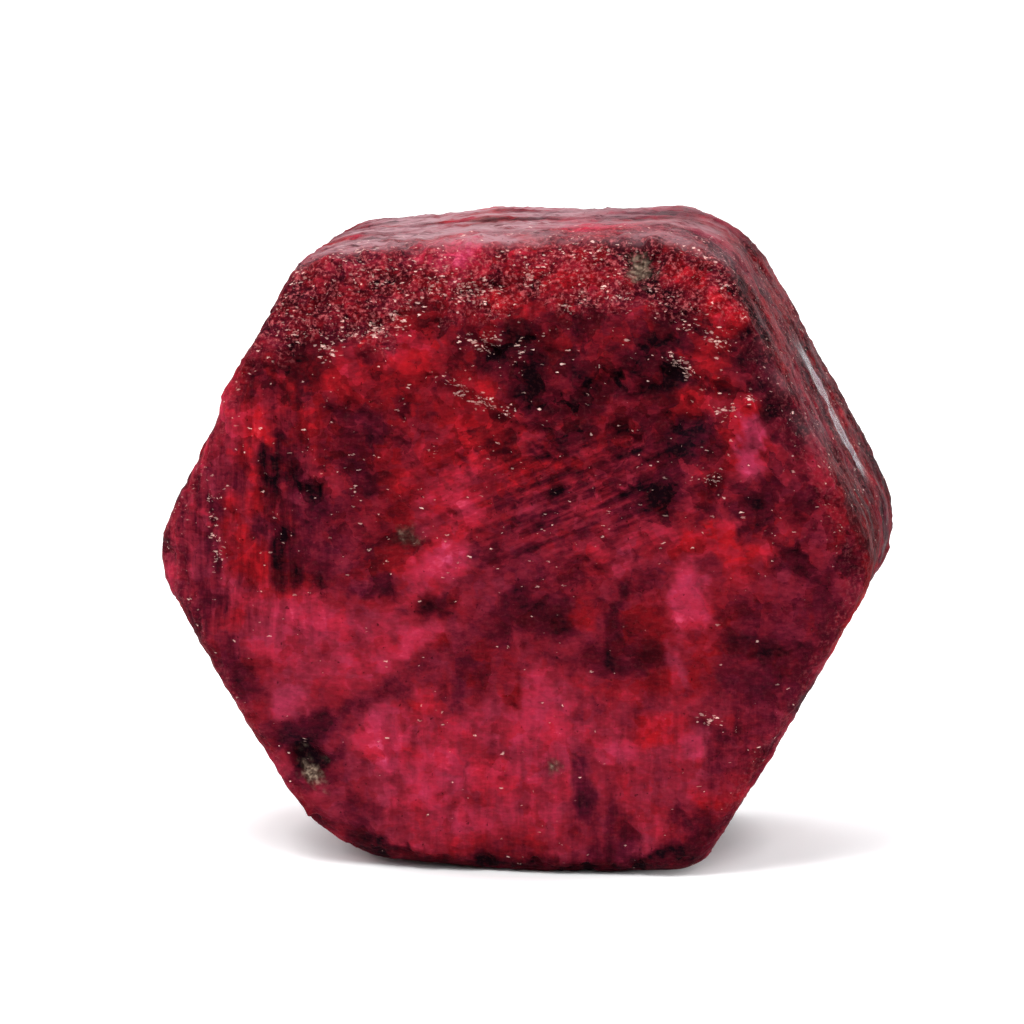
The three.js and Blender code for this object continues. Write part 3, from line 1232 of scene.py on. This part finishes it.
        # pale specks are painted highlights on the grains, dark specks painted shade between them
        for start, full, most, tint in ((0.51, 0.74, 0.85, self.painted_grain_highlight_colour),
                                        (0.44, 0.32, 0.35, self.pit_colour)):
            share = add_node(tree, "ShaderNodeMapRange", {0: grain_light_and_shade, 1: start, 2: full, 4: most}).outputs[0]
            share = add_node(tree, "ShaderNodeMath", {0: share, 1: much}, operation="MULTIPLY").outputs[0]
            colour = add_node(tree, "ShaderNodeMixRGB", {0: share, 1: colour, 2: linear(tint)}).outputs[0]
        return colour

    def streaks(self, canvas: Canvas, length: float, fineness: dict, low: float, high: float) -> Socket:
        """Streaks that run round the crystal, across its c-axis: noise drawn out along X and Z.

        Args:
            canvas: The node tree and its places.
            length: How far the noise is drawn out, as a share of its scale.
            fineness: The noise's scale per millimetre, detail and roughness.
            low: The noise below which there is no streak.
            high: The noise above which the streak is full.

        Returns:
            A pattern from 0 to 1.
        """
        banded = add_node(canvas.tree, "ShaderNodeMapping", {
            "Vector": canvas.mm, "Scale": (length, 1.0, length)}).outputs[0]
        wave = add_node(canvas.tree, "ShaderNodeTexNoise", {"Vector": banded, **fineness}).outputs["Fac"]
        return add_node(canvas.tree, "ShaderNodeMapRange", {0: wave, 1: low, 2: high}).outputs[0]

    def sheen_streaks(self, canvas: Canvas, painted_sheen: Socket) -> Socket:
        """Breaks the painted pale sheen into fine streaks.

        Args:
            canvas: The node tree and its places.
            painted_sheen: How far the skin has a painted pale sheen.

        Returns:
            How far each place has the painted pale sheen.
        """
        share = self.streaks(canvas, 0.3, {"Scale": 1.5, "Detail": 5, "Roughness": 0.65}, 0.32, 0.56)
        return add_node(canvas.tree, "ShaderNodeMath", {0: share, 1: painted_sheen}, operation="MULTIPLY").outputs[0]

    def painted_reflection_streak(self, canvas: Canvas, colour: Socket, gloss: Socket) -> Socket:
        """Paints a pale reflection on the clean growth face where its gloss is nearly full, less along fine
        lines.

        Args:
            canvas: The node tree and its places.
            colour: The body's colour.
            gloss: 1 on the clean growth face.

        Returns:
            The colour with the streak.
        """
        tree = canvas.tree
        share = self.streaks(canvas, 0.2, {"Scale": 1.8, "Detail": 4}, 0.36, 0.62)
        share = add_node(tree, "ShaderNodeMapRange", {0: share, 3: 0.1, 4: 0.7}).outputs[0]
        full = add_node(tree, "ShaderNodeMapRange", {0: gloss, 1: 0.3}).outputs[0]
        share = add_node(tree, "ShaderNodeMath", {0: share, 1: full}, operation="MULTIPLY").outputs[0]
        return add_node(tree, "ShaderNodeMixRGB",
                        {0: share, 1: colour, 2: linear(self.painted_reflection_colour)}).outputs[0]

    def pits(self, canvas: Canvas, colour: Socket) -> Socket:
        """Darkens a few uneven specks of about a quarter of a millimetre.

        Args:
            canvas: The node tree and its places.
            colour: The body's colour.

        Returns:
            The colour with its specks.
        """
        tree = canvas.tree
        speck = add_node(tree, "ShaderNodeTexNoise", {"Vector": canvas.mm, "Scale": 2.4,
                                                      "Detail": 3}).outputs["Fac"]
        depth = add_node(tree, "ShaderNodeMapRange", {0: speck, 1: 0.67, 2: 0.74, 4: 0.7}).outputs[0]
        return add_node(tree, "ShaderNodeMixRGB",
                        {0: depth, 1: colour, 2: linear(self.pit_colour)}).outputs[0]

    def facets(self, canvas: Canvas, colour: Socket, sparkle: Socket) -> tuple[Socket, Socket, Socket]:
        """Scatters small facets with a painted pale glint, one chance for each cell, as many as the share
        says.

        Args:
            canvas: The node tree and its places.
            colour: The body's colour.
            sparkle: The share of cells that hold a bare facet.

        Returns:
            The colour with painted glints, how strongly each place flashes, and the way that its facet leans.
        """
        tree = canvas.tree
        ragged = add_node(tree, "ShaderNodeTexNoise", {"Vector": canvas.grained, "Scale": 5.0,
                                                       "Detail": 2}).outputs["Color"]
        ragged = add_node(tree, "ShaderNodeVectorMath", {0: ragged, "Scale": 0.35},
                          operation="SCALE").outputs[0]
        bent = add_node(tree, "ShaderNodeVectorMath", {0: canvas.grained, 1: ragged},
                        operation="ADD").outputs[0]
        cells = add_node(tree, "ShaderNodeTexVoronoi", {"Vector": bent, "Scale": 1 / self.facet_size})
        glow, chance, width = add_node(tree, "ShaderNodeSeparateColor", {0: cells.outputs["Color"]}).outputs
        chosen = add_node(tree, "ShaderNodeMath", {0: chance, 1: sparkle}, operation="LESS_THAN").outputs[0]
        reach = add_node(tree, "ShaderNodeMapRange", {0: width, 3: 0.12, 4: 0.44}).outputs[0]
        reach = add_node(tree, "ShaderNodeMath", {0: sparkle, 1: self.crowding, 2: reach},
                         operation="MULTIPLY_ADD").outputs[0]
        inside = add_node(tree, "ShaderNodeMath", {0: reach, 1: cells.outputs["Distance"]},
                          operation="SUBTRACT").outputs[0]
        inside = add_node(tree, "ShaderNodeMapRange", {0: inside, 2: 0.14}).outputs[0]
        bare = add_node(tree, "ShaderNodeMath", {0: chosen, 1: inside}, operation="MULTIPLY").outputs[0]
        bright = add_node(tree, "ShaderNodeMath", {0: glow, 1: 1.8}, operation="POWER").outputs[0]
        bright = add_node(tree, "ShaderNodeMapRange", {0: bright, 3: 0.2}).outputs[0]
        flash = add_node(tree, "ShaderNodeMath", {0: bare, 1: bright}, operation="MULTIPLY").outputs[0]
        # painted glint: the chosen facets take a pale colour, as well as a coat that really reflects
        colour = add_node(tree, "ShaderNodeMixRGB",
                          {0: flash, 1: colour, 2: linear(self.painted_glint_colour)}).outputs[0]
        way = add_node(tree, "ShaderNodeVectorMath", {0: cells.outputs["Color"], 1: (0.5, 0.5, 0.5)},
                       operation="SUBTRACT").outputs[0]
        lean = add_node(tree, "ShaderNodeVectorMath", {0: way, "Scale": flash}, operation="SCALE").outputs[0]
        return colour, flash, lean

    def host_rock(self, canvas: Canvas, colour: Socket, rock: Socket) -> Socket:
        """Lays gritty tan host rock over the body's colour where it is grown in.

        Args:
            canvas: The node tree and its places.
            colour: The body's colour.
            rock: 1 on host rock.

        Returns:
            The colour with its rock.
        """
        grit = add_node(canvas.tree, "ShaderNodeTexNoise", {"Vector": canvas.mm, "Scale": 2.2,
                                                            "Detail": 5}).outputs["Fac"]
        stone = add_node(canvas.tree, "ShaderNodeValToRGB", {0: grit}, self.rock_colours).outputs[0]
        return add_node(canvas.tree, "ShaderNodeMixRGB", {0: rock, 1: colour, 2: stone}).outputs[0]


@dataclass(frozen=True)
class PaperSweep:
    """Matt white paper that glows a little, as a painted fill light that pales its shadows, but not in the
    spot under the crystal, which is left as a painted shadow.

    To the eye: even and pale, with no shine, a faint shadow and a dark line where the crystal stands.
    """

    name: str = "white_paper"
    colour: str = "f4f4f4"
    glow: float = 0.38
    painted_shadow_radius: float = 15.0
    spot_radius: float = 21.0

    def material(self) -> bpy.types.Material:
        """Builds a plain matt white whose glow rises from the painted shadow's radius to the spot's radius.

        Returns:
            The finished material.
        """
        material = bpy.data.materials.new(self.name)
        material.use_nodes = True
        tree = material.node_tree
        tree.nodes.clear()
        place = add_node(tree, "ShaderNodeTexCoord").outputs["Object"]
        away = add_node(tree, "ShaderNodeVectorMath", {0: place}, operation="LENGTH").outputs["Value"]
        glow = add_node(tree, "ShaderNodeMapRange", {
            0: away, 1: self.painted_shadow_radius * MM, 2: self.spot_radius * MM, 4: self.glow}).outputs[0]
        shader = add_node(tree, "ShaderNodeBsdfPrincipled", {
            "Base Color": linear(self.colour), "Roughness": 0.9, "Specular IOR Level": 0.1,
            "Emission Color": linear(self.colour), "Emission Strength": glow})
        add_node(tree, "ShaderNodeOutputMaterial", {"Surface": shader.outputs[0]})
        return material


# ---- Sub-assemblies ----


@dataclass
class RubyCrystal:
    """The crystal itself: form, relief, colour zones and finish."""

    grid_step: float = 0.385
    cavity_shade: float = 0.30  # painted shade and light from the relief: how much darker one millimetre of depth, and lighter one of height, makes the tone
    deepest: float = -0.6
    highest: float = 0.4
    rock_height: float = 0.25
    form: CrystalForm = field(default_factory=CrystalForm)
    finish: RawCorundum = field(default_factory=RawCorundum)
    noise: SolidNoise = field(default_factory=lambda: SolidNoise(7))

    def build(self) -> bpy.types.Object:
        """Works out the surface, dresses it and puts it in the solid's place.

        Returns:
            The crystal's object.
        """
        box_low, box_high = (np.array(corner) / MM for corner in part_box(NODE))
        sides = (box_high[0] - box_low[0], self.form.depth, box_high[2] - box_low[2])
        grid, squares = grid_box(sides, self.grid_step)
        points = self.form.onto_surface(grid)
        points[:, 2] = np.maximum(points[:, 2], self.form.rest_level)
        middle = (points.min(axis=0) + points.max(axis=0)) / 2
        to_frame = np.array(((box_low[0] + box_high[0]) / 2 - middle[0],
                             (box_low[1] + box_high[1]) / 2 - middle[1], -self.form.rest_level))
        rest = points + to_frame
        normals = self.form.outward(points)

        relief = Relief(self.noise)
        zones = ColourZones(self.noise)
        sand = zones.sandy(rest, normals, points)
        gloss = zones.glossy(rest, normals, points)
        tone, hue = zones.tone_and_hue(points, rest, normals)
        painted_sheen = zones.painted_sheen_areas(points, normals)
        upright, slanting = line_regions(rest)
        sparkle = zones.sparkling(rest, normals, sand)
        rock = zones.rocky(rest, normals)
        rise = relief.height(points, rest, normals, sand, gloss) + self.rock_height * rock
        # painted shade in the hollows and painted light on the high points, from the relief's height
        tone = tone + self.cavity_shade * np.clip(rise, self.deepest, self.highest)
        foot = smooth_step(1.5, 0.2, rest[:, 2])  # near the resting face nothing stands proud of it
        rise = (1.0 - foot) * rise + foot * np.minimum(rise, 0.0)
        surface = rest + normals * rise[:, None]
        surface[:, 2] += relief.worn_foot(rest)
        surface[:, 2] = np.maximum(surface[:, 2], 0.0)

        thing = mesh_object("crystal", surface * MM, squares)
        put_vectors(thing, "zones", (tone, hue, sparkle))
        put_vectors(thing, "skin", (sand, gloss, rock))
        put_vectors(thing, "lines", (upright, slanting, painted_sheen))
        thing.data.materials.append(self.finish.material())
        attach(thing, BODY)
        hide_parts(NODE)
        log.info("crystal: %d points, relief %.2f to %.2f mm", len(surface), rise.min(), rise.max())
        return thing


@dataclass(frozen=True)
class Lamp:
    """A square lamp: where it stands and its side in millimetres, and its output in watts."""

    name: str
    place: tuple[float, float, float]
    size: float
    power: float


@dataclass
class Studio:
    """The pale paper sweep, the soft lights and the camera."""

    camera_azimuth: float = 7.0
    camera_elevation: float = 9.0
    camera_distance: float = 420.0
    view_width: float = 87.0
    sensor_width: float = 36.0
    aim_right: float = -1.5
    aim_up: float = 1.5
    sweep_width: float = 1400.0
    sweep_front: float = 125.0
    sweep_back: float = 420.0
    sweep_height: float = 700.0
    sweep_radius: float = 320.0
    room_light: float = 1.1
    room_colour: str = "f4f6fa"
    seen_colour: str = "ffffff"
    overhead: Lamp = Lamp("overhead", (-110, -260, 540), 240, 2.2)
    backdrop: Lamp = Lamp("backdrop", (0, 240, 640), 320, 0.9)
    sparkle_places: tuple = ((-260, -380, 420), (120, -420, 460), (340, -260, 380),
                             (-60, -300, 560), (-420, -120, 300), (60, -480, 240))
    sparkle_size: float = 30.0
    sparkle_power: float = 0.16
    finish: PaperSweep = field(default_factory=PaperSweep)

    def camera(self) -> bpy.types.Object:
        """Makes the camera, looking at the crystal from a little above and to the right.

        Returns:
            The camera's object.
        """
        low, high = (np.array(corner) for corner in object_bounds())
        azimuth, elevation = math.radians(self.camera_azimuth), math.radians(self.camera_elevation)
        back = Vector((math.sin(azimuth) * math.cos(elevation), -math.cos(azimuth) * math.cos(elevation),
                       math.sin(elevation)))
        right = Vector((math.cos(azimuth), math.sin(azimuth), 0.0))
        up = back.cross(right)
        aim = Vector((low + high) / 2) + (right * self.aim_right + up * self.aim_up) * MM
        turned = Matrix((right, up, back)).transposed()
        data = bpy.data.cameras.new("camera")
        data.sensor_width = self.sensor_width
        data.lens = self.sensor_width * self.camera_distance / self.view_width
        data.clip_start, data.clip_end = 0.02, 20.0
        thing = bpy.data.objects.new("camera", data)
        thing.matrix_world = Matrix.Translation(aim + back * (self.camera_distance * MM)) @ turned.to_4x4()
        bpy.context.scene.collection.objects.link(thing)
        bpy.context.scene.camera = thing
        return thing

    def sweep(self) -> bpy.types.Object:
        """Makes the paper, its profile carried along X: flat, then a quarter circle, then straight up.

        Returns:
            The paper's object.
        """
        bend = np.linspace(0.0, math.pi / 2, 25)
        depth = np.concatenate([[-self.sweep_front], self.sweep_back + self.sweep_radius * np.sin(bend),
                                [self.sweep_back + self.sweep_radius]])
        height = np.concatenate([[0.0], self.sweep_radius * (1.0 - np.cos(bend)), [self.sweep_height]])
        across = np.linspace(-self.sweep_width / 2, self.sweep_width / 2, 9)
        rows, columns = len(depth), len(across)
        points = np.stack([np.tile(across, rows), np.repeat(depth, columns), np.repeat(height, columns)], 1)
        first = (np.arange(rows - 1)[:, None] * columns + np.arange(columns - 1)).ravel()
        corners = np.stack([first, first + 1, first + columns + 1, first + columns], axis=1)
        thing = mesh_object("paper_sweep", points * MM, corners)
        thing.data.materials.append(self.finish.material())
        thing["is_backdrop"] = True
        return thing

    def light(self, lamp: Lamp) -> None:
        """Makes one lamp that faces the crystal.

        Args:
            lamp: The lamp.
        """
        data = bpy.data.lights.new(lamp.name, "AREA")
        data.size = lamp.size * MM
        data.energy = lamp.power
        thing = bpy.data.objects.new(lamp.name, data)
        thing.location = Vector(lamp.place) * MM
        aim = Vector((0.0, 0.0, 25.0)) * MM - thing.location
        thing.rotation_euler = aim.to_track_quat("-Z", "Y").to_euler()
        bpy.context.scene.collection.objects.link(thing)

    def room(self) -> None:
        """Makes a dim room around the sweep, which shows as white paper where the camera looks past it."""
        world = bpy.data.worlds.new("room")
        world.use_nodes = True
        tree = world.node_tree
        tree.nodes.clear()
        direction = add_node(tree, "ShaderNodeTexCoord").outputs["Generated"]
        across, depth, height = add_node(tree, "ShaderNodeSeparateXYZ", {0: direction}).outputs
        sky = add_node(tree, "ShaderNodeMapRange", {0: height, 2: 0.45, 3: 0.08},
                       interpolation_type="SMOOTHSTEP").outputs[0]
        behind = add_node(tree, "ShaderNodeMapRange", {0: depth, 1: -0.6, 2: 0.4, 3: 0.3}).outputs[0]
        sky = add_node(tree, "ShaderNodeMath", {0: sky, 1: behind}, operation="MULTIPLY").outputs[0]
        across = add_node(tree, "ShaderNodeMath", {0: across}, operation="ABSOLUTE").outputs[0]
        beside = add_node(tree, "ShaderNodeMapRange", {0: across, 1: 0.5, 2: 0.85}).outputs[0]
        sky = add_node(tree, "ShaderNodeMath", {0: sky, 1: beside}, operation="MAXIMUM").outputs[0]
        sky = add_node(tree, "ShaderNodeMath", {0: sky, 1: self.room_light}, operation="MULTIPLY").outputs[0]
        dim = add_node(tree, "ShaderNodeBackground", {"Color": linear(self.room_colour), "Strength": sky})
        pale = add_node(tree, "ShaderNodeBackground", {"Color": linear(self.seen_colour), "Strength": 1.0})
        seen = add_node(tree, "ShaderNodeLightPath").outputs["Is Camera Ray"]
        both = add_node(tree, "ShaderNodeMixShader", {0: seen, 1: dim.outputs[0], 2: pale.outputs[0]})
        add_node(tree, "ShaderNodeOutputWorld", {"Surface": both.outputs[0]})
        bpy.context.scene.world = world

    def lights(self) -> None:
        """Makes a broad soft light above the front, one for the paper behind, and small ones for sparkle."""
        self.light(self.overhead)
        self.light(self.backdrop)
        for index, place in enumerate(self.sparkle_places):
            self.light(Lamp(f"sparkle_{index + 1}", place, self.sparkle_size, self.sparkle_power))

    def build(self) -> None:
        """Sets up the paper and the lights, and keeps colours as they are."""
        self.sweep()
        self.room()
        self.lights()
        bpy.context.scene.view_settings.view_transform = "Standard"
        log.info("studio: paper sweep, lamps and camera")


def main() -> None:
    """Builds the camera, the crystal and the studio in order."""
    logging.basicConfig(level=logging.INFO, format="%(name)s: %(message)s")
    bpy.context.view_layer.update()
    studio = Studio()
    studio.camera()
    RubyCrystal().build()
    studio.build()
    bpy.context.view_layer.update()


if __name__ == "__main__":
    main()
